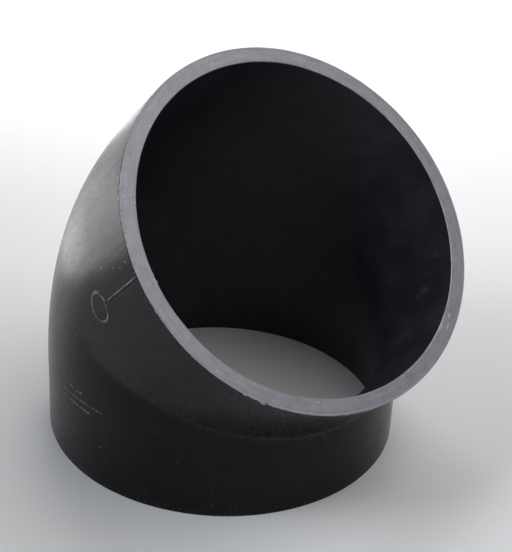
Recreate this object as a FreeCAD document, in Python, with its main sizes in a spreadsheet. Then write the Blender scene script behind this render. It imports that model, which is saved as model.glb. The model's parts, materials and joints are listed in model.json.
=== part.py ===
"""45 degree elbow with plain spigot ends, for 160 mm drainage and supply pipe.

One moulded piece.  The lower spigot stands on the XY plane with its axis on +Z and
the centre of its end face at the origin; the upper spigot leans towards +X, in the
XZ plane.  Millimetres and degrees.
"""
import FreeCAD, Part
import os

NODE = "elbow_body"
SHEET = "Dimensions"

# alias, value, meaning
DRIVING_SIZES = [
    ("outside_diameter", 160.0, "outside of both spigots, the pipe's own size"),
    ("wall_thickness", 6.8, "wall, the same all round"),
    ("bend_angle", 45.0, "turn between the two spigot axes"),
    ("leg_length", 70.0, "crossing of the axes to either end face"),
    ("bend_radius", 90.0, "of the centreline"),
    ("throat_bow_radius", 1500.0, "of the nearly straight runs that meet in the throat"),
    ("throat_bow_sweep", 6.0, "turn of those runs, enough to pass the mitre plane"),
    ("bore_overrun", 2.0, "how far the bore's form runs past each end face"),
    ("mark_relief", 0.2, "height of the moulded marks above the skin"),
    ("line_width", 0.5, "alignment line"),
    ("line_length", 29.5, "alignment line, back from the upper end face"),
    ("ring_diameter", 13.0, "outside of the ring mark"),
    ("ring_width", 1.0, "stroke of the ring mark"),
    ("ring_setback", 38.0, "upper end face to the ring's centre, along the axis"),
    ("row_height", 38.4, "middle row of bar marks, above the lower end face"),
    ("row_spacing", 3.7, "between rows of bar marks"),
    ("bar_pitch", 2.6, "between bar marks in a row"),
    ("bar_gap", 0.7, "clear space between two bars"),
    ("bar_thickness", 0.8, "bar mark, along the pipe"),
]

# Each row of bar marks: rows above the middle one, first place, number of bars.
BAR_ROWS = [
    (-1, -5, 10),
    (0, -5, 13),
    (1, -1, 4),
]


def dim(alias):
    return SHEET + "." + alias


ANGLE = dim("bend_angle")
LEG = dim("leg_length")
BEND_RADIUS = dim("bend_radius")
OUTER_RADIUS = "(" + dim("outside_diameter") + " / 2)"
BORE_RADIUS = "(" + OUTER_RADIUS + " - " + dim("wall_thickness") + ")"
SKIN_RADIUS = "(" + OUTER_RADIUS + " + " + dim("mark_relief") + ")"
SPIGOT = "(" + LEG + " - " + BEND_RADIUS + " * tan(" + ANGLE + " / 2))"
END_X = "(" + LEG + " * sin(" + ANGLE + "))"
END_Z = "(" + LEG + " * (1 + cos(" + ANGLE + ")))"


def make_sheet(doc):
    sheet = doc.addObject("Spreadsheet::Sheet", SHEET)
    for row, (alias, value, meaning) in enumerate(DRIVING_SIZES, start=1):
        sheet.set("A%d" % row, str(value))
        sheet.setAlias("A%d" % row, alias)
        sheet.set("B%d" % row, meaning)
    doc.recompute()
    return sheet


def bind(obj, **expressions):
    for prop, expression in expressions.items():
        obj.setExpression(prop, expression)
    return obj


def put(obj, x="0", y="0", z="0", tilt="0"):
    """Place an object and lean it by tilt degrees from +Z towards +X."""
    lean = FreeCAD.Rotation(FreeCAD.Vector(0, 1, 0), 1)
    obj.Placement = FreeCAD.Placement(FreeCAD.Vector(), lean)
    obj.setExpression("Placement.Base.x", x)
    obj.setExpression("Placement.Base.y", y)
    obj.setExpression("Placement.Base.z", z)
    obj.setExpression("Placement.Rotation.Angle", tilt)
    return obj


def combine(doc, kind, name, parts):
    obj = doc.addObject(kind, name)
    obj.Shapes = parts
    obj.Refine = True
    return obj


def ring_arc(doc, name, centre_radius, radius, sweep):
    """A stretch of torus that goes on from the lower spigot and turns towards +X."""
    arc = doc.addObject("Part::Torus", name)
    bind(arc, Radius1=centre_radius, Radius2=radius, Angle3=sweep)
    start = FreeCAD.Vector(-1, 0, 0)
    upward = FreeCAD.Vector(0, 0, 1)
    axis = FreeCAD.Vector(0, 1, 0)
    arc.Placement = FreeCAD.Placement(FreeCAD.Vector(), FreeCAD.Rotation(start, upward, axis, "ZXY"))
    arc.setExpression("Placement.Base.x", centre_radius)
    arc.setExpression("Placement.Base.z", SPIGOT)
    return arc


def elbow_form(doc, name, radius, overrun="0"):
    """A solid elbow, round at the heel and creased at the throat.

    The lower half ends on the mitre plane.  Past the spigot it is what two stretches of
    torus share: the bend itself, which shapes the heel, and a nearly straight run, which
    meets its mirror image in the throat's crease.
    """
    spigot = doc.addObject("Part::Cylinder", name + "_spigot")
    bind(spigot, Radius=radius, Height=SPIGOT + " + " + overrun)
    put(spigot, z="-(" + overrun + ")")

    heel = ring_arc(doc, name + "_heel", BEND_RADIUS, radius, ANGLE + " / 2")
    throat = ring_arc(doc, name + "_throat", dim("throat_bow_radius"), radius, dim("throat_bow_sweep"))
    bend = combine(doc, "Part::MultiCommon", name + "_bend", [heel, throat])
    lower = combine(doc, "Part::MultiFuse", name + "_lower", [spigot, bend])

    upper = doc.addObject("Part::Mirroring", name + "_upper")
    upper.Source = lower
    upper.setExpression("Base.z", LEG)
    upper.setExpression("Normal.x", "sin(" + ANGLE + " / 2)")
    upper.setExpression("Normal.z", "cos(" + ANGLE + " / 2)")
    return combine(doc, "Part::MultiFuse", name, [lower, upper])


def relief_block(doc, name, along, up, across, tall, tilt="0"):
    """A block through the -Y wall, centred at (along, up) in the XZ plane."""
    block = doc.addObject("Part::Box", name)
    bind(block, Length=across, Height=tall, Width=dim("wall_thickness"))
    put(block,
        x=along + " - (" + across + ") / 2 * cos(" + tilt + ") - (" + tall + ") / 2 * sin(" + tilt + ")",
        y="-" + OUTER_RADIUS + " - " + dim("wall_thickness") + " / 2",
        z=up + " + (" + across + ") / 2 * sin(" + tilt + ") - (" + tall + ") / 2 * cos(" + tilt + ")",
        tilt=tilt)
    return block


def alignment_line(doc):
    middle = "(" + dim("line_length") + " / 2)"
    return relief_block(doc, "alignment_line",
                        END_X + " - " + middle + " * sin(" + ANGLE + ")",
                        END_Z + " - " + middle + " * cos(" + ANGLE + ")",
                        dim("line_width"), dim("line_length"), ANGLE)


def ring_mark(doc):
    """A plain moulded ring, just past the end of the alignment line."""
    discs = []
    for name, shrink in (("ring_outer", "0"), ("ring_inner", dim("ring_width"))):
        disc = doc.addObject("Part::Cylinder", name)
        bind(disc, Radius=dim("ring_diameter") + " / 2 - " + shrink, Height=dim("wall_thickness"))
        disc.Placement = FreeCAD.Placement(
            FreeCAD.Vector(), FreeCAD.Rotation(FreeCAD.Vector(1, 0, 0), -90))
        disc.setExpression("Placement.Base.x", END_X + " - " + dim("ring_setback") + " * sin(" + ANGLE + ")")
        disc.setExpression("Placement.Base.y", "-" + OUTER_RADIUS + " - " + dim("wall_thickness") + " / 2")
        disc.setExpression("Placement.Base.z", END_Z + " - " + dim("ring_setback") + " * cos(" + ANGLE + ")")
        discs.append(disc)
    ring = doc.addObject("Part::Cut", "ring_mark")
    ring.Base, ring.Tool = discs
    return ring


def bar_marks(doc):
    """Rows of plain raised bars on the lower leg's side."""
    bars = []
    for row, first, count in BAR_ROWS:
        up = dim("row_height") + " + %d * " % row + dim("row_spacing")
        for place in range(first, first + count):
            along = "%d * " % place + dim("bar_pitch")
            width = dim("bar_pitch") + " - " + dim("bar_gap")
            name = "bar_mark_%d" % (len(bars) + 1)
            bars.append(relief_block(doc, name, along, up, width, dim("bar_thickness")))
    return bars


def elbow_body(doc):
    outside = elbow_form(doc, "outside", OUTER_RADIUS)
    skin = elbow_form(doc, "raised_skin", SKIN_RADIUS)
    bore = elbow_form(doc, "bore", BORE_RADIUS, dim("bore_overrun"))

    prisms = [alignment_line(doc), ring_mark(doc)] + bar_marks(doc)
    prism_set = doc.addObject("Part::Compound", "mark_prisms")
    prism_set.Links = prisms
    marks = doc.addObject("Part::Common", "marks")
    marks.Base, marks.Tool = skin, prism_set

    marked = doc.addObject("Part::Fuse", "marked_outside")
    marked.Base, marked.Tool = outside, marks

    body = doc.addObject("Part::Cut", NODE)
    body.Base, body.Tool = marked, bore
    body.Refine = True
    body.Label = NODE
    return body


def check(doc, parts):
    for obj in doc.Objects:
        bad = [state for state in obj.State if state in ("Invalid", "Error")]
        if bad:
            raise RuntimeError("%s is %s" % (obj.Name, bad))
    for part in parts:
        if part.Shape.isNull() or not part.Shape.isValid():
            raise RuntimeError(part.Label + " has no valid shape")
        if len(part.Shape.Solids) != 1:
            raise RuntimeError("%s is %d solids" % (part.Label, len(part.Shape.Solids)))


def main():
    doc = FreeCAD.newDocument("pipe_elbow")
    make_sheet(doc)
    parts = [elbow_body(doc)]
    doc.recompute()
    check(doc, parts)
    os.makedirs("parts", exist_ok=True)
    for part in parts:
        part.Shape.exportStep("parts/" + part.Label + ".step")
        print(part.Label, "volume", round(part.Shape.Volume), "box", part.Shape.BoundBox)


main()
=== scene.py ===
"""A black moulded 45 degree pipe elbow, standing on its lower spigot.

The moulded body is one closed mesh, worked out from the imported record's mounts: a wall that runs up
the outside, across the turned upper end face, down the bore and across the lower end face.  A second
mesh holds the burrs along the upper face's edges.
Lengths are in metres and angles in radians unless a name or a comment says otherwise.
"""

import json
import math
import random
from types import SimpleNamespace

import bpy
import numpy as np
from mathutils import Matrix, Vector


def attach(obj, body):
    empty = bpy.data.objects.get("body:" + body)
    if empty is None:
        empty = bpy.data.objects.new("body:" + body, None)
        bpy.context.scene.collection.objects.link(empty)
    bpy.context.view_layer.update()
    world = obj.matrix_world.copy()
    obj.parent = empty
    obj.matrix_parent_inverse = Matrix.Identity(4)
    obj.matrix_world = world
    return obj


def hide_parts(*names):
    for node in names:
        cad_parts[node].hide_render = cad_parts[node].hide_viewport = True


MM = 0.001

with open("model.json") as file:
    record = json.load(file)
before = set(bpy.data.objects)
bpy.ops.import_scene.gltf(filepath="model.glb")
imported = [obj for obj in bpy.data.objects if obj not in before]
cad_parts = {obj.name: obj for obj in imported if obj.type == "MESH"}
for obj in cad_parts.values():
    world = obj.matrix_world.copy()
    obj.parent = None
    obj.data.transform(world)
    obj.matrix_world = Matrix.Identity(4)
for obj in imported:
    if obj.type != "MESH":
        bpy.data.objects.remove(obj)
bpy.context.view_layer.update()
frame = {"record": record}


# --------------------------------------------------------------------------- sizes from the frame

mounts = {m["name"]: m for m in frame["record"]["mounts"]}
upper_axis = Vector(mounts["upper_spigot"]["axis"]).normalized()
upper_end = Vector(mounts["upper_spigot"]["pos_m"])

OUTER_RADIUS = mounts["lower_spigot"]["dims"]["r_mm"] * MM
MID_WALL_RADIUS = mounts["lower_weld_face"]["pos_m"][0]
BORE_RADIUS = 2 * MID_WALL_RADIUS - OUTER_RADIUS
TURN = math.acos(upper_axis.z)
LEG = upper_end.x / math.sin(TURN)
SPIGOT = mounts["lower_spigot"]["dims"]["length_mm"] * MM
HALF_TURN_TAN = math.tan(TURN / 2)
BEND_RADIUS = (LEG - SPIGOT) / HALF_TURN_TAN
UPPER_SIDE = Vector((math.cos(TURN), 0, -math.sin(TURN)))      # towards the throat, across the upper end
ELBOW_MIDDLE = Vector((upper_end.x / 2, 0, upper_end.z * 2 / 3))


# --------------------------------------------------------------------------- detail sizes

THROAT_FILLET = 5.0 * MM
BORE_THROAT_FILLET = 7.0 * MM
THROAT_FADE = 0.25            # cosine of the angle round the wall over which crease turns to curve

EDGE_ROUND = 0.35 * MM
EDGE_POINTS = 4               # points round each rounded edge
GROOVE_PITCH = 0.62 * MM
GROOVE_DEPTH = 0.006 * MM
TOOL_STEPS = [                # rings left by the facing tool: inset from the outside, width, depth
    (1.20 * MM, 0.30 * MM, 0.05 * MM),
    (4.60 * MM, 0.35 * MM, 0.02 * MM),
    (6.10 * MM, 0.25 * MM, 0.03 * MM),
]
EDGE_NICKS = [                # degrees from the throat, edge radius, width along the edge, depth
    (-38.5, OUTER_RADIUS, 1.3 * MM, 0.40 * MM),
    (-46.5, OUTER_RADIUS, 0.7 * MM, 0.20 * MM),
    (-115.0, OUTER_RADIUS, 0.6 * MM, 0.15 * MM),
    (118.3, BORE_RADIUS, 1.1 * MM, -0.30 * MM),
    (137.5, BORE_RADIUS, 0.9 * MM, -0.35 * MM),
    (62.1, BORE_RADIUS, 0.6 * MM, -0.25 * MM),
]
NICK_REACH = 0.9 * MM         # how far from its edge a nick still shows
NICK_DIP = 0.7                # how deep a nick goes into the face, against how far it goes across
FACE_SCUFFS = [               # degrees from the throat, radius, length round the wall, width
    (38.2, 76.6 * MM, 5.0 * MM, 2.0 * MM),
    (42.0, 75.6 * MM, 4.0 * MM, 1.6 * MM),
    (36.5, 74.0 * MM, 8.0 * MM, 1.2 * MM),
    (-22.0, 74.6 * MM, 2.2 * MM, 0.9 * MM),
    (-8.7, 74.1 * MM, 1.1 * MM, 0.8 * MM),
    (-15.8, 78.9 * MM, 1.0 * MM, 0.7 * MM),
    (153.6, 76.5 * MM, 1.8 * MM, 0.7 * MM),
    (-87.5, 74.0 * MM, 1.4 * MM, 0.7 * MM),
]
SKIN_SCUFFS = [               # degrees from the throat, depth from the upper end, length, width
    (-99.1, 26.1 * MM, 1.2 * MM, 2.2 * MM),
    (-95.5, 5.1 * MM, 2.0 * MM, 1.6 * MM),
    (-95.1, 10.5 * MM, 1.0 * MM, 1.8 * MM),
    (-96.5, 16.1 * MM, 0.9 * MM, 1.2 * MM),
    (-113.0, 1.6 * MM, 1.4 * MM, 2.0 * MM),
    (-123.8, 28.8 * MM, 1.2 * MM, 1.8 * MM),
    (-90.4, 67.9 * MM, 1.3 * MM, 1.1 * MM),
    (-93.5, 112.5 * MM, 1.4 * MM, 1.6 * MM),
    (-76.9, 104.3 * MM, 1.0 * MM, 1.5 * MM),
    (-82.7, 97.0 * MM, 1.2 * MM, 1.4 * MM),
]
BORE_GLINTS = [                 # painted glints on the bore: degrees from the throat, depth from the nearer end, width, length
    (40, 27 * MM, 13 * MM, 20 * MM),
    (56, 22 * MM, 9 * MM, 16 * MM),
    (66, 12 * MM, 7 * MM, 12 * MM),
]

BURR_SEED = 7
BURR_STEPS = 7
BURR_TIP = 0.04               # share of a sliver's length that its blunt tip leaves out at each end
BURR_ROOT = 0.08 * MM         # how deep a sliver's tips are set into the face
BURR_RISE = 0.4               # how far a sliver stands up from the face, against how far it stands out
BURR_FLATNESS = 0.6           # a sliver's height against its width
LONE_BURRS = [                # degrees, edge radius, which way out, length, thickness, lift
    (-39.7, OUTER_RADIUS, 1, 3.4 * MM, 0.34 * MM, 0.55 * MM),
    (-45.6, OUTER_RADIUS, 1, 1.6 * MM, 0.30 * MM, 0.25 * MM),
    (62.0, BORE_RADIUS, -1, 1.3 * MM, 0.50 * MM, 0.35 * MM),
]
BURR_STRETCHES = [            # degrees from, to, edge radius, which way out, how many
    (-47, -36, OUTER_RADIUS, 1, 7),
    (-117, -102, OUTER_RADIUS, 1, 18),
    (-135, -95, OUTER_RADIUS, 1, 12),
    (-95, 0, OUTER_RADIUS, 1, 6),
    (-90, -86, BORE_RADIUS, -1, 2),
    (-70, -48, BORE_RADIUS, -1, 3),
    (30, 145, BORE_RADIUS, -1, 7),
]

MARK_RELIEF = 0.2 * MM
MARK_SLOPE = 0.22 * MM
LINE_WIDTH = 0.5 * MM
LINE_LENGTH = 29.5 * MM
GROOVE_WIDTH = 0.4 * MM       # the groove along the alignment line's lower side
GROOVE_SHARE = 0.7            # its depth against the marks' height
RING_RADIUS = 6.5 * MM
RING_STROKE = 1.0 * MM
RING_SETBACK = 38.0 * MM
ROW_HEIGHT = 38.4 * MM
ROW_SPACING = 3.7 * MM
BAR_PITCH = 2.6 * MM
BAR_LENGTH = 1.9 * MM
BAR_THICKNESS = 0.8 * MM
BAR_ROWS = [                  # rows above the middle one, first place, number of bars
    (-1, -5, 10),
    (0, -5, 13),
    (1, -1, 4),
]

GATE_ANGLE = math.radians(131)
GATE_HEIGHT = 30 * MM
GATE_RADIUS = 1.3 * MM
GATE_RELIEF = 0.5 * MM

# Columns of points round the wall, all in degrees.
COARSE_STEP = 3.0
FINE_STEP = 0.2
LEAST_STEP = 0.12             # a column nearer than this to the one before it is left out
MARKED_DEGREES = (-101, -74)  # the stretch with the moulded marks, measured from the throat
GATE_COLUMNS = 1.4            # how far fine columns go on each side of the gate's stub
NICK_COLUMNS = 0.8            # and on each side of a nick

# Rings along each wall: how far along it a stretch ends, and the number of rings in it.  The rows of
# bars, the bend, the ring mark and the gate's stub have the closest ones.
OUTSIDE_RINGS = [(0.008, 1), (0.2, 8), (0.34, 66), (0.66, 26), (0.8, 40), (0.992, 11), (1, 1)]
BORE_RINGS = [(0.992, 1), (0.62, 13), (0.38, 30), (0.24, 6), (0.19, 16), (0.008, 7), (0, 1)]
UPPER_FACE_RINGS = 42         # across the face's flat part, its two edges included
LOWER_FACE_RINGS = 26


# --------------------------------------------------------------------------- material sizes

SKIN_SPECULAR = 0.175
BORE_SPECULAR = 0.38
FACE_SPECULAR = 0.8
FLOOR_SPECULAR = 0.2
SKIN_EDGE_WEAR = 5 * MM       # how far from an end the skin is scuffed
SCRATCH_FADE = 0.06           # noise above the threshold at which a scratch is full
NOISE_CELL = 0.6              # a blob of noise is about this share of one over its scale
SPECK_CRUMPLE = 1.2           # how often the noise that crumples a speck's outline turns, per size

# Layers of scratches: width, length, lean in radians, shift of the pattern, and noise threshold.
SKIN_SCRATCHES = [
    (0.22 * MM, 13 * MM, 0.15, 0.1, 0.79),
    (0.22 * MM, 16 * MM, 1.45, 0.5, 0.79),
]
PALE_ARCS = [
    (0.22 * MM, 16 * MM, 0.008, 0.2, 0.70),
    (0.30 * MM, 9 * MM, -0.012, 0.6, 0.72),
]
DARK_ARCS = [
    (0.20 * MM, 20 * MM, 0.0, 0.9, 0.70),
    (0.26 * MM, 11 * MM, 0.01, 0.35, 0.73),
]
FACE_SCRATCHES = [
    (0.35 * MM, 3.5 * MM, 0.5, 0.2, 0.79),
    (0.35 * MM, 3.0 * MM, -1.1, 0.4, 0.80),
]


# --------------------------------------------------------------------------- stage, light and camera sizes

FLOOR_SIZE = 12
SKY_TINT = (0.95, 0.975, 1.0, 1)
HORIZON_STRENGTH = 0.45
OVERHEAD_STRENGTH = 0.06
HORIZON_TOP = 6               # degrees up at which the horizon's paleness starts to fade
OVERHEAD_EDGE = 24            # degrees up from which the sky is dim
FAR_WASH_RINGS = [            # radius of the ring, height and power of each lamp
    (1.5, 1.3, 2.5),
    (4.0, 3.4, 30.0),
]
FAR_WASH_STEP = 45            # degrees between lamps in a ring
KEY_BEARINGS = (38, 61)       # degrees round from +X, and up
KEY_DISTANCE = 1.3            # from the elbow's middle
MOUTH_FILL_BEARINGS = (-98, 48)
MOUTH_FILL_DISTANCE = 0.5
MOUTH_FILL_TINT = (0.9, 0.95, 1.0)

VIEW_AZIMUTH = 51.19          # degrees round from -Y, towards +X
VIEW_ELEVATION = 29.19        # degrees
VIEW_ROLL = 3.02              # degrees
VIEW_DISTANCE = 3.848         # this and the three below in pipe diameters
AIM_HEIGHT = 0.5
AIM_RIGHT = 0.0803
AIM_UP = -0.0440
LENS = 90.2                   # this and the next in millimetres, as Blender counts them
SENSOR_HEIGHT = 36
NEAREST_SEEN = 0.01


# --------------------------------------------------------------------------- small helpers

def smoothstep(low, high, value):
    t = np.clip((value - low) / (high - low), 0, 1)
    return t * t * (3 - 2 * t)


def graded(start, stretches):
    """Positions along a line from start: each stretch is (end, steps)."""
    places = [np.array([start])]
    for end, steps in stretches:
        places.append(np.linspace(start, end, steps + 1)[1:])
        start = end
    return np.concatenate(places)


def thinned(values, least):
    """Sorted values with any that is nearer than least to the one kept before it left out."""
    kept = []
    for value in np.sort(values):
        if not kept or value - kept[-1] >= least:
            kept.append(value)
    return np.array(kept)


def spokes(around, side):
    """Unit directions in an end's plane, at each angle round from side, which points to the throat."""
    return np.cos(around)[:, None] * np.array(side) + np.sin(around)[:, None] * np.array([0.0, 1.0, 0.0])


# --------------------------------------------------------------------------- the wall's shape

def wall_runs(radius, throat_fillet, cosine):
    """The bend's arc radius, tight in the throat and full at the heel, and the straight run before it."""
    full = BEND_RADIUS - radius * cosine
    heel_share = smoothstep(-THROAT_FADE, THROAT_FADE, -cosine)
    fillet = np.minimum(throat_fillet + (full - throat_fillet) * heel_share, full)
    straight = LEG - radius * cosine * HALF_TURN_TAN - fillet * HALF_TURN_TAN
    return fillet, straight


def wall_points(radius, throat_fillet, around, along):
    """Points, outward normals and travelled length of a bent tube, as arrays [along, around].

    around is the angle from the throat; along runs from 0 at the lower end face to 1 at the upper.
    """
    cosine, sine = np.cos(around), np.sin(around)
    fillet, straight = wall_runs(radius, throat_fillet, cosine)
    offset = radius * cosine
    arc = fillet * TURN
    travel = along[:, None] * (2 * straight + arc)[None, :]

    turn = np.clip((travel - straight) / fillet, 0, TURN)
    low_run = np.minimum(travel, straight)
    high_run = np.maximum(travel - straight - arc, 0)
    x = offset + fillet - fillet * np.cos(turn) + high_run * np.sin(turn)
    z = low_run + fillet * np.sin(turn) + high_run * np.cos(turn)
    y = np.broadcast_to(radius * sine, x.shape)
    points = np.stack([x, y, z], axis=-1)

    in_plane = np.broadcast_to(cosine, x.shape)
    normals = np.stack([in_plane * np.cos(turn), np.broadcast_to(sine, x.shape),
                        -in_plane * np.sin(turn)], axis=-1)
    return points, normals, travel


def unrolled(around, radius, travel):
    """Each point's place on the straight tube that the elbow would be without its bend."""
    x = np.broadcast_to(radius * np.cos(around), travel.shape)
    y = np.broadcast_to(radius * np.sin(around), travel.shape)
    return np.stack([x, y, travel], axis=-1)


# --------------------------------------------------------------------------- moulded marks

def bar_distance(x, z, centre, half_size):
    """Signed distance to a rectangle in the XZ plane, negative inside."""
    dx = np.abs(x - centre[0]) - half_size[0]
    dz = np.abs(z - centre[1]) - half_size[1]
    outside = np.hypot(np.maximum(dx, 0), np.maximum(dz, 0))
    return outside + np.minimum(np.maximum(dx, dz), 0)


def from_upper_end(x, z):
    """Distances in the XZ plane along the upper axis and across it, from the upper end's centre."""
    along = (x - upper_end.x) * upper_axis.x + (z - upper_end.z) * upper_axis.z
    across = (x - upper_end.x) * upper_axis.z - (z - upper_end.z) * upper_axis.x
    return along, across


def mark_distance(x, z):
    """Signed distance to the nearest moulded mark, seen along Y."""
    along, across = from_upper_end(x, z)
    line = bar_distance(across, along, (0, -LINE_LENGTH / 2), (LINE_WIDTH / 2, LINE_LENGTH / 2))
    ring = np.abs(np.hypot(across, along + RING_SETBACK) - RING_RADIUS + RING_STROKE / 2) - RING_STROKE / 2
    nearest = np.minimum(line, ring)
    half_bar = (BAR_LENGTH / 2, BAR_THICKNESS / 2)
    for row, first, count in BAR_ROWS:
        height = ROW_HEIGHT + row * ROW_SPACING
        for place in range(first, first + count):
            centre = (place * BAR_PITCH + BAR_LENGTH / 2, height)
            nearest = np.minimum(nearest, bar_distance(x, z, centre, half_bar))
    return nearest


def line_groove(x, z):
    """Share of the relief by which the skin sinks along the alignment line's lower side."""
    along, across = from_upper_end(x, z)
    from_middle = np.abs(across - LINE_WIDTH / 2 - GROOVE_WIDTH)
    beside = 1 - smoothstep(GROOVE_WIDTH / 4, GROOVE_WIDTH, from_middle)
    return GROOVE_SHARE * beside * smoothstep(-LINE_LENGTH, -LINE_LENGTH + MM, along)


def mark_height(points):
    """Share of the full relief, up to 1 and below 0 in the groove, at each point of the outer wall."""
    x, z = points[..., 0], points[..., 2]
    on_marked_side = smoothstep(0.9 * OUTER_RADIUS, 0.95 * OUTER_RADIUS, -points[..., 1])
    height = 1 - smoothstep(-MARK_SLOPE / 2, MARK_SLOPE / 2, mark_distance(x, z))
    return (height - line_groove(x, z)) * on_marked_side


def gate_height(around, travel):
    """Share of the full height, 0 to 1, of the gate's stub in the bore."""
    across = (around - GATE_ANGLE) * BORE_RADIUS
    distance = np.hypot(across[None, :], travel - GATE_HEIGHT)
    return 1 - smoothstep(0.5 * GATE_RADIUS, GATE_RADIUS, distance)


# --------------------------------------------------------------------------- turned end faces

def face_profile(flat_steps):
    """Radii across the wall from outside to inside, and the face's dip at each, tool marks included."""
    quarter = np.linspace(0, math.pi / 2, EDGE_POINTS)
    outer = OUTER_RADIUS - EDGE_ROUND * (1 - np.cos(quarter))
    inner = BORE_RADIUS + EDGE_ROUND * (1 - np.cos(quarter[::-1]))
    round_dip = EDGE_ROUND * (1 - np.sin(quarter))
    flat = np.linspace(outer[-1], inner[0], flat_steps)[1:-1]
    inset = OUTER_RADIUS - flat
    dip = GROOVE_DEPTH * (0.5 - 0.5 * np.cos(2 * math.pi * inset / GROOVE_PITCH))
    for middle, width, depth in TOOL_STEPS:
        dip = dip + depth * (np.abs(inset - middle) < width / 2)
    return np.concatenate([outer, flat, inner]), np.concatenate([round_dip, dip, round_dip[::-1]])


def nick_shift(around, radius):
    """How far a point near an edge is pushed back into the wall's thickness, nicks and chips alike."""
    shift = np.zeros(np.broadcast(around, radius).shape)
    for degrees, edge, width, depth in EDGE_NICKS:
        along_edge = (around - math.radians(degrees)) * edge
        near = np.clip(1 - np.abs(radius - edge) / NICK_REACH, 0, 1)
        shift = shift - depth * near * np.exp(-(2 * along_edge / width) ** 2)
    return shift


def end_face(around, centre, axis, side, flat_steps, nicked):
    """The band of rings across an end face, from outside to inside; nicked is 1 or 0."""
    radii, dips = face_profile(flat_steps)
    shift = nick_shift(around[None, :], radii[:, None]) * nicked
    radius = radii[:, None] + shift
    dip = dips[:, None] + NICK_DIP * np.abs(shift)
    points = (np.array(centre) + radius[..., None] * spokes(around, side)[None, :, :]
              - dip[..., None] * np.array(axis))
    level = np.zeros(radius.shape)
    return {
        "points": points,
        "unbent": unrolled(around[None, :], radii[:, None], level),
        "to_end": level,
        "relief": level,
    }


# --------------------------------------------------------------------------- the body's mesh

def fine_columns(middle, reach):
    """Closely spaced angles, up to reach degrees on each side of the middle."""
    return middle + np.radians(np.arange(-reach, reach + FINE_STEP / 2, FINE_STEP))


def around_angles():
    """Angles round the wall: fine where there are marks, nicks or the gate's stub, coarse elsewhere."""
    columns = [
        np.radians(np.arange(-180, 180, COARSE_STEP)),
        np.radians(np.arange(*MARKED_DEGREES, FINE_STEP)),
        fine_columns(GATE_ANGLE, GATE_COLUMNS),
    ]
    for nick in EDGE_NICKS:
        columns.append(fine_columns(math.radians(nick[0]), NICK_COLUMNS))
    return thinned(np.concatenate(columns), math.radians(LEAST_STEP))


def outer_wall(around):
    """The band of rings up the outside, with the moulded marks."""
    along = graded(0, OUTSIDE_RINGS)
    points, normals, travel = wall_points(OUTER_RADIUS, THROAT_FILLET, around, along)
    relief = mark_height(points)
    return {
        "points": points + normals * (relief * MARK_RELIEF)[..., None],
        "unbent": unrolled(around, OUTER_RADIUS, travel),
        "to_end": np.minimum(travel, travel[-1] - travel),
        "relief": relief,
    }


def bore_wall(around):
    """The band of rings down the bore, with the gate's stub."""
    along = graded(1, BORE_RINGS)
    points, normals, travel = wall_points(BORE_RADIUS, BORE_THROAT_FILLET, around, along)
    stub = gate_height(around, travel)
    return {
        "points": points - normals * (stub * GATE_RELIEF)[..., None],
        "unbent": unrolled(around, BORE_RADIUS, travel),
        "to_end": np.minimum(travel, travel[0] - travel),
        "relief": stub,
    }


def body_bands():
    """The four bands of rings that close the body's wall, in the order in which they meet.

    A band holds its points, and what each point carries for the materials: its unbent place, its
    distance to the nearer end face and its share of the relief.
    """
    around = around_angles()
    outside = outer_wall(around)
    bore = bore_wall(around)
    upper_face = end_face(around, upper_end, upper_axis, UPPER_SIDE, UPPER_FACE_RINGS, 1)
    lower_face = end_face(around, (0, 0, 0), (0, 0, -1), (1, 0, 0), LOWER_FACE_RINGS, 0)
    lower_face = {key: values[::-1] for key, values in lower_face.items()}

    # A wall's first and last rings are the edges of the faces that it meets.
    outside["points"][0], outside["points"][-1] = lower_face["points"][-1], upper_face["points"][0]
    bore["points"][0], bore["points"][-1] = upper_face["points"][-1], lower_face["points"][0]
    upper_inside = {key: values[1:-1] for key, values in upper_face.items()}
    lower_inside = {key: values[1:-1] for key, values in lower_face.items()}
    return [outside, upper_inside, bore, lower_inside]


def banded_mesh(name, bands):
    """A closed mesh from bands of rings, with a material for each band; the last ring joins the first."""
    joined = {key: np.concatenate([band[key] for band in bands]) for key in bands[0]}
    rings = joined.pop("points")
    band_of_ring = np.concatenate([np.full(len(band["points"]), i) for i, band in enumerate(bands)])
    count, sides = rings.shape[:2]
    index = np.arange(count * sides).reshape(count, sides)
    after = np.roll(index, -1, axis=0)
    quads = np.stack([index, np.roll(index, -1, axis=1), np.roll(after, -1, axis=1), after], axis=-1)
    mesh = bpy.data.meshes.new(name)
    mesh.from_pydata(rings.reshape(-1, 3).tolist(), [], quads.reshape(-1, 4).tolist())
    mesh.polygons.foreach_set("use_smooth", np.ones(count * sides, bool))
    mesh.polygons.foreach_set("material_index", np.repeat(band_of_ring, sides).astype(np.int32))
    for key, values in joined.items():
        kind, field = ("FLOAT_VECTOR", "vector") if values.ndim == 3 else ("FLOAT", "value")
        layer = mesh.attributes.new(key, kind, "POINT")
        layer.data.foreach_set(field, values.reshape(-1).astype(np.float32))
    mesh.update()
    return mesh


# --------------------------------------------------------------------------- burrs on the turned edge

def burr(degrees, edge, out, length, thick, lift):
    """Rings of points along one sliver that the tool tore up: thick in its middle, sharp at its ends."""
    turned = math.radians(degrees) + np.linspace(-0.5, 0.5, BURR_STEPS) * length / edge
    bulge = np.sin(np.linspace(BURR_TIP, 1 - BURR_TIP, BURR_STEPS) * math.pi)
    radial = spokes(turned, UPPER_SIDE)
    facing = np.array(upper_axis)[None, :]
    spine = np.array(upper_end) + radial * (edge + out * lift * bulge)[:, None]
    spine = spine + facing * (lift * bulge * BURR_RISE - BURR_ROOT)[:, None]
    corners = []
    for side, rise in ((1, 0), (0, 1), (-1, 0), (0, -1)):
        way = radial * side + facing * rise * BURR_FLATNESS
        corners.append(spine + way * (thick * bulge / 2)[:, None])
    return np.stack(corners, axis=1)


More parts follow.
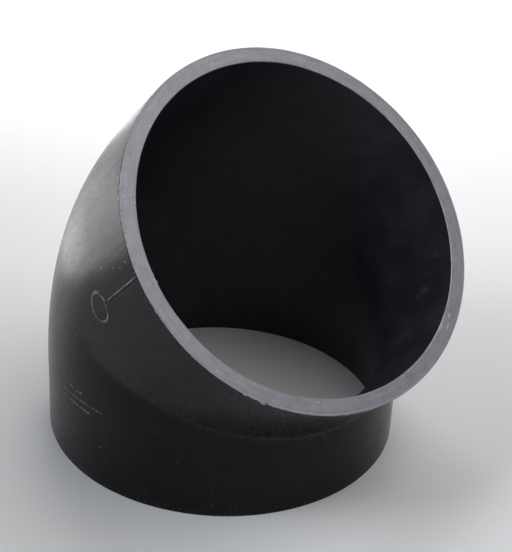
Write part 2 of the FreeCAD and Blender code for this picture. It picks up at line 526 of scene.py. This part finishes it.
def burr_mesh(name, burrs):
    """Every sliver is a closed spindle with a small cap at each end."""
    points, faces = [], []
    for rings in burrs:
        first = len(points)
        points += rings.reshape(-1, 3).tolist()
        for step in range(BURR_STEPS - 1):
            for corner in range(4):
                near = first + 4 * step + corner
                next_near = first + 4 * step + (corner + 1) % 4
                faces.append((near + 4, next_near + 4, next_near, near))
        last = first + 4 * (BURR_STEPS - 1)
        faces.append((first, first + 1, first + 2, first + 3))
        faces.append((last + 3, last + 2, last + 1, last))
    mesh = bpy.data.meshes.new(name)
    mesh.from_pydata(points, [], faces)
    mesh.update()
    return mesh


def edge_burrs():
    """Slivers along the upper face's edges, most of them where the outer edge is ragged."""
    chance = random.Random(BURR_SEED)
    burrs = [burr(*sliver) for sliver in LONE_BURRS]
    for start, end, edge, out, count in BURR_STRETCHES:
        for _ in range(count):
            degrees = chance.uniform(start, end)
            length = chance.uniform(0.5, 1.9) * MM
            thick = chance.uniform(0.12, 0.24) * MM
            lift = chance.uniform(-0.04, 0.14) * MM
            burrs.append(burr(degrees, edge, out, length, thick, lift))
    return burrs


# --------------------------------------------------------------------------- node building

class Nodes:
    """A material's node tree, with short calls for the nodes that the materials below share."""

    def __init__(self, name):
        self.material = bpy.data.materials.new(name)
        self.material.use_nodes = True
        self.tree = self.material.node_tree
        self.shader = self.tree.nodes["Principled BSDF"]

    def feed(self, socket, value):
        if isinstance(value, bpy.types.NodeSocket):
            self.tree.links.new(value, socket)
        else:
            socket.default_value = value

    def add(self, kind, inputs=None, **settings):
        node = self.tree.nodes.new(kind)
        for key, value in settings.items():
            setattr(node, key, value)
        for key, value in (inputs or {}).items():
            self.feed(node.inputs[key], value)
        return node

    def surface(self, inputs):
        """Fill in the shader's sockets and hand over the material."""
        for key, value in inputs.items():
            self.feed(self.shader.inputs[key], value)
        return self.material

    def attribute(self, name, output="Fac"):
        return self.add("ShaderNodeAttribute", attribute_name=name).outputs[output]

    def object_place(self):
        return self.add("ShaderNodeTexCoord").outputs["Object"]

    # Numbers

    def math(self, operation, first, second=0.0, third=0.0):
        return self.add("ShaderNodeMath", {0: first, 1: second, 2: third}, operation=operation).outputs[0]

    def times(self, first, second):
        return self.math("MULTIPLY", first, second)

    def weighted(self, start, *terms):
        """The start plus each pattern times its weight."""
        for pattern, weight in terms:
            start = self.math("MULTIPLY_ADD", pattern, weight, start)
        return start

    def most(self, *values):
        result = values[0]
        for value in values[1:]:
            result = self.math("MAXIMUM", result, value)
        return result

    def between(self, value, low, high, to_low=0.0, to_high=1.0):
        """A smooth rise from to_low to to_high as value goes from low to high."""
        sockets = {"Value": value, "From Min": low, "From Max": high, "To Min": to_low, "To Max": to_high}
        return self.add("ShaderNodeMapRange", sockets, interpolation_type="SMOOTHSTEP").outputs[0]

    def fading(self, value, low, high):
        """A smooth fall from 1 to 0 as value goes from low to high."""
        return self.between(value, low, high, 1.0, 0.0)

    # Vectors

    def parts(self, vector):
        return self.add("ShaderNodeSeparateXYZ", {0: vector}).outputs

    def vector(self, **parts):
        """A vector from the parts X, Y and Z, each of which is nothing unless it is given."""
        return self.add("ShaderNodeCombineXYZ", parts).outputs[0]

    def length(self, vector):
        return self.add("ShaderNodeVectorMath", {0: vector}, operation="LENGTH").outputs["Value"]

    def mapped(self, vector, location, rotation, scale):
        sockets = {"Vector": vector, "Location": location, "Rotation": rotation, "Scale": scale}
        return self.add("ShaderNodeMapping", sockets, vector_type="TEXTURE").outputs[0]

    def stretched(self, vector, cell, tilt=0.0, shift=0.0):
        """The vector counted in cells of the given size, after a turn by tilt about Z."""
        return self.mapped(vector, (shift, 0.0, 0.0), (0.0, 0.0, tilt), cell)

    def bent(self, vector, scale, reach):
        """The vector shifted by slow noise, so that straight patterns on it bend."""
        drift = self.add("ShaderNodeTexNoise", {"Vector": vector, "Scale": scale, "Detail": 1.0})
        sockets = {0: drift.outputs["Color"], 1: (reach, reach, 0.0), 2: vector}
        return self.add("ShaderNodeVectorMath", sockets, operation="MULTIPLY_ADD").outputs[0]

    # Patterns, colours and relief

    def noise(self, vector, scale, detail=2.0, roughness=0.5):
        sockets = {"Vector": vector, "Scale": scale, "Detail": detail, "Roughness": roughness}
        return self.add("ShaderNodeTexNoise", sockets).outputs["Fac"]

    def long_noise(self, place, across, along, detail=3.0):
        """Noise in cells of one size across the pipe and another along it."""
        return self.noise(self.stretched(place, (across, across, along)), 1.0, detail)

    def spot(self, vector, x, y, across, along):
        """An oval that fades from its middle, at (x, y) on the vector's flat."""
        local = self.mapped(vector, (x, y, 0.0), (0.0, 0.0, 0.0), (across / 2, along / 2, 1.0))
        return self.fading(self.length(local), 0.3, 1.0)

    def spots(self, vector, ovals):
        return self.most(*[self.spot(vector, *oval) for oval in ovals])

    def mix(self, share, first, second):
        node = self.add("ShaderNodeMix", data_type="RGBA")
        self.feed(node.inputs["Factor"], share)
        self.feed(node.inputs[6], first)
        self.feed(node.inputs[7], second)
        return node.outputs[2]

    def laid_over(self, colour, mask, strength, tone):
        """The colour with the tone over it, up to the given strength where the mask is full."""
        return self.mix(self.times(mask, strength), colour, tone)

    def bumps(self, *layers):
        """The normal after each pattern in turn has raised the surface, by its distance at most."""
        sockets = {"Strength": 1.0}
        for height, distance in layers:
            node = self.add("ShaderNodeBump", {"Height": height, "Distance": distance, **sockets})
            sockets["Normal"] = node.outputs[0]
        return sockets["Normal"]


def grey(value, blue=0.0):
    """A grey as a linear colour, with a share more blue than red."""
    return (value, value, value * (1 + blue), 1)


# --------------------------------------------------------------------------- patterns on the wall

def angle_round(nodes, place):
    parts = nodes.parts(place)
    return nodes.math("ARCTAN2", parts["Y"], parts["X"])


def wall_places(nodes):
    """The unbent place, and the wall unrolled flat: across, along, nothing."""
    place = nodes.attribute("unbent", "Vector")
    across = nodes.times(angle_round(nodes, place), OUTER_RADIUS)
    return place, nodes.vector(X=across, Y=nodes.parts(place)["Z"])


def scratch_layer(nodes, flat, width, length, tilt, shift, threshold):
    """Lone fine scratches, width and length at most, all leaning the same way."""
    cells = nodes.stretched(flat, (width, length, 1.0), tilt, shift)
    return nodes.between(nodes.noise(cells, 1.0, 0.0), threshold, threshold + SCRATCH_FADE)


def scratches_on(nodes, flat, layers):
    return nodes.most(*[scratch_layer(nodes, flat, *layer) for layer in layers])


def speck_layer(nodes, flat, pitch, size, share):
    """Scattered specks: pitch apart, size across, and only on a share of the cells."""
    crumpled = nodes.bent(flat, SPECK_CRUMPLE / size, size)
    cells = nodes.add("ShaderNodeTexVoronoi", {"Vector": crumpled, "Scale": 1 / pitch},
                      voronoi_dimensions="2D")
    pick = nodes.add("ShaderNodeSeparateColor", {0: cells.outputs["Color"]}).outputs
    reach = nodes.times(pick["Green"], size / pitch)
    inside = nodes.math("LESS_THAN", cells.outputs["Distance"], reach)
    return nodes.times(inside, nodes.math("LESS_THAN", pick["Red"], share))


def fleck_layer(nodes, flat, size, patch, share):
    """Groups of tiny scuffed flecks: each about size, in patches about patch across."""
    flecks = nodes.between(nodes.noise(flat, NOISE_CELL / size, 3.0, 0.6), 0.60, 0.66)
    patches = nodes.between(nodes.noise(flat, NOISE_CELL / patch), 1 - share, 1.08 - share)
    return nodes.times(flecks, patches)


# --------------------------------------------------------------------------- the moulded skin

def skin_spots(nodes, flat):
    """The lone scuffs on the outer wall."""
    ovals = []
    for degrees, depth, length, width in SKIN_SCUFFS:
        around = math.radians(degrees)
        fillet, straight = wall_runs(OUTER_RADIUS, THROAT_FILLET, math.cos(around))
        whole_length = 2 * straight + fillet * TURN
        ovals.append((around * OUTER_RADIUS, whole_length - depth, width, length))
    return nodes.spots(flat, ovals)


def skin_patterns(nodes):
    """The patterns and masks that the skin's colour, gloss and relief share."""
    place, flat = wall_places(nodes)
    relief = nodes.attribute("relief")
    near_edge = nodes.fading(nodes.attribute("to_end"), 0.0, SKIN_EDGE_WEAR)
    edge_scuffs = nodes.between(nodes.noise(flat, 1100.0), 0.56, 0.66)
    scuff_grain = nodes.between(nodes.noise(flat, 1500.0), 0.38, 0.50)
    rubbed = nodes.between(nodes.noise(place, 190.0, 3.0), 0.38, 0.60, to_low=0.18)
    wavy = nodes.bent(flat, 45.0, 6 * MM)
    return SimpleNamespace(
        streaks=nodes.long_noise(place, 1.6 * MM, 40 * MM),
        flow=nodes.long_noise(place, 9 * MM, 26 * MM),
        mottle=nodes.long_noise(place, 1.3 * MM, 2.8 * MM, 2.0),
        handling=nodes.noise(place, 28.0, 3.0),
        grain=nodes.noise(place, 900.0),
        scratches=scratches_on(nodes, wavy, SKIN_SCRATCHES),
        scuffs=nodes.times(skin_spots(nodes, flat), scuff_grain),
        specks=speck_layer(nodes, flat, 7 * MM, 0.42 * MM, 0.26),
        flecks=fleck_layer(nodes, flat, 0.45 * MM, 11 * MM, 0.40),
        edge_wear=nodes.times(near_edge, edge_scuffs),
        # tops of the raised marks: wear, and a painted highlight where they catch the light
        worn_and_highlit_top=nodes.times(nodes.between(relief, 0.35, 0.90), rubbed),
        # the groove beside the alignment line, where shade is painted
        shaded_groove=nodes.fading(relief, -0.45, -0.05),
    )


def skin_colour(nodes, seen):
    handled = nodes.between(seen.handling, 0.35, 0.7)
    colour = nodes.mix(handled, grey(0.0026, 0.40), grey(0.0052, 0.30))
    light = nodes.most(
        nodes.times(seen.scratches, 0.14),
        nodes.times(seen.specks, 0.6),
        nodes.times(seen.flecks, 0.55),
        nodes.times(seen.edge_wear, 0.5))
    colour = nodes.mix(light, colour, grey(0.11))
    colour = nodes.laid_over(colour, seen.scuffs, 0.8, grey(0.30, 0.05))
    # Painted highlight and wear: the tops of the raised marks are painted pale grey.
    colour = nodes.laid_over(colour, seen.worn_and_highlit_top, 0.85, grey(0.23, 0.04))
    # Painted shade: the groove beside the alignment line is painted near black.
    return nodes.laid_over(colour, seen.shaded_groove, 0.9, grey(0.0005))


def moulded_skin(name):
    """Black polyethylene as it leaves a polished mould: satin, faintly streaked, lightly handled."""
    nodes = Nodes(name)
    seen = skin_patterns(nodes)
    worn = nodes.most(seen.edge_wear, seen.scratches, seen.worn_and_highlit_top, seen.flecks)
    rough = nodes.weighted(0.07, (seen.handling, 0.10), (seen.streaks, 0.06), (seen.mottle, 0.12),
                           (seen.flow, 0.12), (worn, 0.18), (seen.shaded_groove, 0.40))
    normal = nodes.bumps(
        (seen.flow, 0.08 * MM),
        (seen.streaks, 0.005 * MM),
        (seen.mottle, 0.008 * MM),
        (seen.grain, 0.006 * MM),
        (seen.scratches, -0.004 * MM),
        (nodes.most(seen.flecks, seen.specks), 0.03 * MM))
    return nodes.surface({
        "Base Color": skin_colour(nodes, seen),
        "Roughness": rough,
        "Specular IOR Level": SKIN_SPECULAR,
        "Normal": normal,
    })


# --------------------------------------------------------------------------- the bore

def painted_bore_glints(nodes, flat):
    """Painted glints: pale smeared patches in the bore, a little way in from its ends."""
    end_flat = nodes.vector(X=nodes.parts(flat)["X"], Y=nodes.attribute("to_end"))
    ovals = [(math.radians(degrees) * OUTER_RADIUS, depth, width, length)
             for degrees, depth, width, length in BORE_GLINTS]
    glint_breakup = nodes.between(nodes.noise(nodes.bent(flat, 60.0, 8 * MM), 130.0, 3.0), 0.42, 0.64)
    return nodes.times(nodes.spots(end_flat, ovals), glint_breakup)


def bore_skin(name):
    """The bore, left by a drawn core: darker, with long streaks and faint flow patches."""
    nodes = Nodes(name)
    place, flat = wall_places(nodes)
    streaks = nodes.long_noise(place, 1.8 * MM, 80 * MM)
    patches = nodes.long_noise(place, 11 * MM, 17 * MM)
    specks = speck_layer(nodes, flat, 9 * MM, 0.5 * MM, 0.25)
    flecks = fleck_layer(nodes, flat, 0.6 * MM, 14 * MM, 0.38)
    tone = nodes.between(nodes.weighted(0.0, (patches, 0.8), (streaks, 0.2)), 0.36, 0.70)
    colour = nodes.mix(tone, grey(0.013, 0.45), grey(0.023, 0.35))
    colour = nodes.laid_over(colour, nodes.most(specks, flecks), 0.35, grey(0.08))
    # Painted highlight: pale glint patches in the bore.
    colour = nodes.laid_over(colour, painted_bore_glints(nodes, flat), 0.22, grey(0.08, 0.15))
    colour = nodes.laid_over(colour, nodes.attribute("relief"), 0.7, grey(0.09))
    return nodes.surface({
        "Base Color": colour,
        "Roughness": nodes.weighted(0.30, (streaks, 0.04), (patches, 0.10)),
        "Specular IOR Level": BORE_SPECULAR,
        "Normal": nodes.bumps((patches, 0.08 * MM), (streaks, 0.003 * MM)),
    })


# --------------------------------------------------------------------------- the turned faces

def face_places(nodes):
    """Where a point lies on an end face: its radius and bearing, the face itself, and the ring unrolled."""
    place = nodes.attribute("unbent", "Vector")
    parts = nodes.parts(place)
    radius = nodes.length(place)
    round_wall = nodes.times(angle_round(nodes, place), MID_WALL_RADIUS)
    return SimpleNamespace(
        place=place,
        radius=radius,
        bearing=nodes.add("ShaderNodeVectorMath", {0: place}, operation="NORMALIZE").outputs[0],
        flat=nodes.vector(X=parts["X"], Y=parts["Y"]),
        polar=nodes.vector(X=radius, Y=round_wall),
    )


def ring_noise(nodes, at, pitch, drift):
    """Noise that changes fast across the wall and slowly round it."""
    turned = nodes.parts(at.bearing)
    across = nodes.math("DIVIDE", at.radius, pitch)
    vector = nodes.vector(X=across, Y=nodes.times(turned["X"], drift), Z=nodes.times(turned["Y"], drift))
    return nodes.noise(vector, 1.0, 2.0, 0.6)


def ringed_colour(nodes, at, fine, hair):
    """Grey in rings of slightly different tone."""
    broad = ring_noise(nodes, at, 1.7 * MM, 3.0)
    mottle = nodes.noise(at.place, 190.0, 3.0)
    tone = nodes.weighted(-0.27, (broad, 0.55), (fine, 0.50), (hair, 0.25), (mottle, 0.50))
    return nodes.mix(nodes.between(tone, 0.30, 0.82), grey(0.122, 0.13), grey(0.205, 0.13))


def tool_marks_shade_and_reflection(nodes, at, colour, arcs, gouges):
    """A narrow step painted dark as shade, with a painted reflection as a lighter band outside it, for part
    of the way round, and long scratches.
    """
    step_arc = nodes.between(nodes.noise(at.bearing, 1.6, 1.0), 0.42, 0.56)
    step_in = nodes.between(at.radius, OUTER_RADIUS - 1.45 * MM, OUTER_RADIUS - 1.25 * MM)
    step_out = nodes.fading(at.radius, OUTER_RADIUS - 1.15 * MM, OUTER_RADIUS - 0.95 * MM)
    step = nodes.times(nodes.times(step_in, step_out), step_arc)
    band = nodes.between(at.radius, OUTER_RADIUS - 1.2 * MM, OUTER_RADIUS - 0.9 * MM)
    # Painted reflection: the lighter band outside the step, where the edge catches the light.
    colour = nodes.laid_over(colour, nodes.times(band, step_arc), 0.30, grey(0.30, 0.10))
    # Painted shade: the dark line in the step, together with the dark gouges.
    step_shade_and_gouges = nodes.most(nodes.times(step, 0.42), nodes.times(gouges, 0.24))
    colour = nodes.mix(step_shade_and_gouges, colour, grey(0.075, 0.10))
    return nodes.laid_over(colour, arcs, 0.20, grey(0.34, 0.10))


def lip_wear_and_highlight(nodes, at):
    """Ragged pale edges, in patches: partly worn, whitened plastic and partly a painted highlight along the
    rounded edges.
    """
    ragged = nodes.weighted(at.radius, (nodes.noise(at.place, 900.0, 3.0), 0.7 * MM))
    outer_lip = nodes.between(ragged, OUTER_RADIUS + 0.08 * MM, OUTER_RADIUS + 0.22 * MM)
    inner_lip = nodes.fading(ragged, BORE_RADIUS + 0.48 * MM, BORE_RADIUS + 0.62 * MM)
    patches = nodes.between(nodes.noise(at.place, 38.0), 0.42, 0.62)
    return nodes.times(nodes.most(outer_lip, inner_lip), patches)


def face_scuffs(nodes, at, colour):
    """The large scuffs, then the small ones."""
    ovals = [(radius, math.radians(degrees) * MID_WALL_RADIUS, width, length)
             for degrees, radius, length, width in FACE_SCUFFS]
    torn = nodes.between(nodes.noise(at.flat, 700.0, 3.0), 0.36, 0.62)
    large = nodes.times(nodes.spots(at.polar, ovals), torn)
    colour = nodes.laid_over(colour, large, 0.70, grey(0.46, 0.10))
    small = nodes.most(
        scratches_on(nodes, at.flat, FACE_SCRATCHES),
        speck_layer(nodes, at.flat, 4 * MM, 0.40 * MM, 0.22))
    return nodes.laid_over(colour, small, 0.45, grey(0.50, 0.08))


def turned_face(name):
    """A faced end: grey because the cut plastic is matt, in fine rings of slightly different tone."""
    nodes = Nodes(name)
    at = face_places(nodes)
    fine = ring_noise(nodes, at, 0.50 * MM, 14.0)
    hair = ring_noise(nodes, at, 0.17 * MM, 40.0)
    arcs = scratches_on(nodes, at.polar, PALE_ARCS)
    gouges = scratches_on(nodes, at.polar, DARK_ARCS)
    pale_lips_and_highlight = lip_wear_and_highlight(nodes, at)
    colour = ringed_colour(nodes, at, fine, hair)
    colour = tool_marks_shade_and_reflection(nodes, at, colour, arcs, gouges)
    # Painted highlight and wear: pale lines along the face's outer and inner edges.
    colour = nodes.laid_over(colour, pale_lips_and_highlight, 0.75, grey(0.46, 0.07))
    raised = nodes.math("SUBTRACT", arcs, gouges)
    return nodes.surface({
        "Base Color": face_scuffs(nodes, at, colour),
        "Roughness": nodes.weighted(0.26, (fine, 0.16), (pale_lips_and_highlight, 0.15)),
        "Specular IOR Level": FACE_SPECULAR,
        "Normal": nodes.bumps((fine, 0.016 * MM), (hair, 0.006 * MM), (raised, 0.006 * MM)),
    })


# --------------------------------------------------------------------------- burrs' and floor's materials

def torn_edge(name):
    """Plastic that whitened as the tool tore it."""
    nodes = Nodes(name)
    tear = nodes.noise(nodes.object_place(), 2500.0)
    return nodes.surface({
        "Base Color": nodes.mix(tear, grey(0.22, 0.08), grey(0.62, 0.06)),
        "Roughness": nodes.weighted(0.35, (tear, 0.3)),
        "Normal": nodes.bumps((tear, 0.05 * MM)),
    })


def pale_floor(name):
    """A plain pale studio floor with the faintest grain."""
    nodes = Nodes(name)
    place = nodes.object_place()
    grain = nodes.noise(place, 900.0)
    cloud = nodes.noise(place, 6.0)
    tone = nodes.weighted(0.0, (grain, 0.7), (cloud, 0.3))
    return nodes.surface({
        "Base Color": nodes.mix(tone, grey(0.70, 0.01), grey(0.78, 0.01)),
        "Roughness": 0.85,
        "Specular IOR Level": FLOOR_SPECULAR,
    })


# --------------------------------------------------------------------------- the stage

def make_floor():
    bpy.ops.mesh.primitive_plane_add(size=FLOOR_SIZE, location=(0, 0, 0))
    floor = bpy.context.object
    floor.name = "floor"
    floor.data.materials.append(pale_floor("pale_floor"))


def heading(azimuth, elevation):
    """The way that a bearing from +X and a height above the horizon, in degrees, point to."""
    bearing, height = math.radians(azimuth), math.radians(elevation)
    level = math.cos(height)
    return Vector((math.cos(bearing) * level, math.sin(bearing) * level, math.sin(height)))


def hang(name, data):
    """A lamp of its own in the scene for a light."""
    lamp = bpy.data.objects.new(name, data)
    bpy.context.scene.collection.objects.link(lamp)
    return lamp


def soft_light(name, place, aim, width, height, power, spread=180, tint=(1, 1, 1)):
    """A soft panel that faces the point aim; the camera doesn't see the panel itself."""
    data = bpy.data.lights.new(name, "AREA")
    data.shape = "RECTANGLE"
    data.size, data.size_y = width, height
    data.energy = power
    data.color = tint
    data.spread = math.radians(spread)
    lamp = hang(name, data)
    lamp.location = place
    lamp.rotation_euler = (Vector(place) - Vector(aim)).to_track_quat("Z", "Y").to_euler()
    lamp.visible_camera = False
    return lamp


def soft_sun(name, direction, strength, angle):
    """An even light on all of the floor, as wide across as a large diffuser."""
    data = bpy.data.lights.new(name, "SUN")
    data.energy = strength
    data.angle = math.radians(angle)
    lamp = hang(name, data)
    lamp.rotation_euler = direction.to_track_quat("Z", "Y").to_euler()


def studio_world():
    """Dim overhead, so that reflections stay dark, and pale towards the horizon, behind the floor."""
    world = bpy.data.worlds.new("studio")
    world.use_nodes = True
    tree = world.node_tree
    sky = tree.nodes["Background"]
    place = tree.nodes.new("ShaderNodeTexCoord")
    parts = tree.nodes.new("ShaderNodeSeparateXYZ")
    fade = tree.nodes.new("ShaderNodeMapRange")
    fade.interpolation_type = "SMOOTHSTEP"
    fade.inputs["From Min"].default_value = math.sin(math.radians(HORIZON_TOP))
    fade.inputs["From Max"].default_value = math.sin(math.radians(OVERHEAD_EDGE))
    fade.inputs["To Min"].default_value = HORIZON_STRENGTH
    fade.inputs["To Max"].default_value = OVERHEAD_STRENGTH
    tree.links.new(place.outputs["Generated"], parts.inputs[0])
    tree.links.new(parts.outputs["Z"], fade.inputs["Value"])
    tree.links.new(fade.outputs[0], sky.inputs["Strength"])
    sky.inputs["Color"].default_value = SKY_TINT
    bpy.context.scene.world = world


def far_washes():
    """Rings of high lamps that light only the floor well away from the object, the same on all sides."""
    for radius, height, power in FAR_WASH_RINGS:
        for bearing in range(0, 360, FAR_WASH_STEP):
            below = radius * heading(bearing, 0)
            place = (below.x, below.y, height)
            name = "far_wash_%d_%d" % (radius, bearing)
            wash = soft_light(name, place, below, width=0.8, height=0.8, power=power, spread=94)
            wash.visible_glossy = False


def make_light():
    studio_world()
    far_washes()
    key_way = heading(*KEY_BEARINGS)
    soft_light("key", ELBOW_MIDDLE + KEY_DISTANCE * key_way, ELBOW_MIDDLE,
               width=0.9, height=0.9, power=4.0)
    soft_sun("even", key_way, strength=0.62, angle=50)
    mouth_way = heading(*MOUTH_FILL_BEARINGS)
    soft_light("mouth_fill", ELBOW_MIDDLE + MOUTH_FILL_DISTANCE * mouth_way, (0.06, 0.03, 0.13),
               width=0.25, height=0.25, power=0.22, spread=60, tint=MOUTH_FILL_TINT)
    # Low on the heel's side and aimed up at it, so that they show in the skin and not on the floor.
    soft_light("heel_panel", (-0.24, -0.06, 0.05), (0, -0.02, 0.17),
               width=0.30, height=0.10, power=0.021, spread=50)
    soft_light("heel_edge", (-0.26, 0.13, 0.05), (-0.04, 0.0, 0.13),
               width=0.14, height=0.10, power=0.004, spread=50)
    soft_light("back_wash", (-0.52, 0.38, 0.8), (-0.52, 0.38, 0),
               width=0.6, height=0.6, power=3.4, spread=100)


def make_camera():
    """The photo's view of the elbow."""
    azimuth, elevation = math.radians(VIEW_AZIMUTH), math.radians(VIEW_ELEVATION)
    roll = math.radians(VIEW_ROLL)
    back = Vector((math.sin(azimuth) * math.cos(elevation),
                   -math.cos(azimuth) * math.cos(elevation),
                   math.sin(elevation)))
    level_right = Vector((0, 0, 1)).cross(back).normalized()
    level_up = back.cross(level_right)
    right = level_right * math.cos(roll) + level_up * math.sin(roll)
    up = level_up * math.cos(roll) - level_right * math.sin(roll)
    aim = Vector((0, 0, AIM_HEIGHT)) + right * AIM_RIGHT + up * AIM_UP
    place = (aim + back * VIEW_DISTANCE) * (2 * OUTER_RADIUS)

    data = bpy.data.cameras.new("view")
    data.sensor_fit = "VERTICAL"
    data.sensor_height = SENSOR_HEIGHT
    data.lens = LENS
    data.clip_start = NEAREST_SEEN
    camera = bpy.data.objects.new("view", data)
    bpy.context.scene.collection.objects.link(camera)
    camera.matrix_world = Matrix((
        (right.x, up.x, back.x, place.x),
        (right.y, up.y, back.y, place.y),
        (right.z, up.z, back.z, place.z),
        (0, 0, 0, 1)))
    bpy.context.scene.camera = camera


# --------------------------------------------------------------------------- making it

def make_elbow():
    mesh = banded_mesh("elbow", body_bands())
    elbow = bpy.data.objects.new("elbow", mesh)
    bpy.context.scene.collection.objects.link(elbow)
    # One material for each band of rings, in the bands' order.
    mesh.materials.append(moulded_skin("moulded_skin"))
    mesh.materials.append(turned_face("turned_upper_face"))
    mesh.materials.append(bore_skin("bore_skin"))
    mesh.materials.append(turned_face("turned_lower_face"))
    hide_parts("elbow_body")
    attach(elbow, "root")


def make_burrs():
    mesh = burr_mesh("edge_burrs", edge_burrs())
    burrs = bpy.data.objects.new("edge_burrs", mesh)
    bpy.context.scene.collection.objects.link(burrs)
    mesh.materials.append(torn_edge("torn_edge"))
    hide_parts("elbow_body")
    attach(burrs, "root")


make_elbow()
make_burrs()
make_floor()
make_light()
make_camera()
bpy.context.scene.view_settings.view_transform = "Standard"
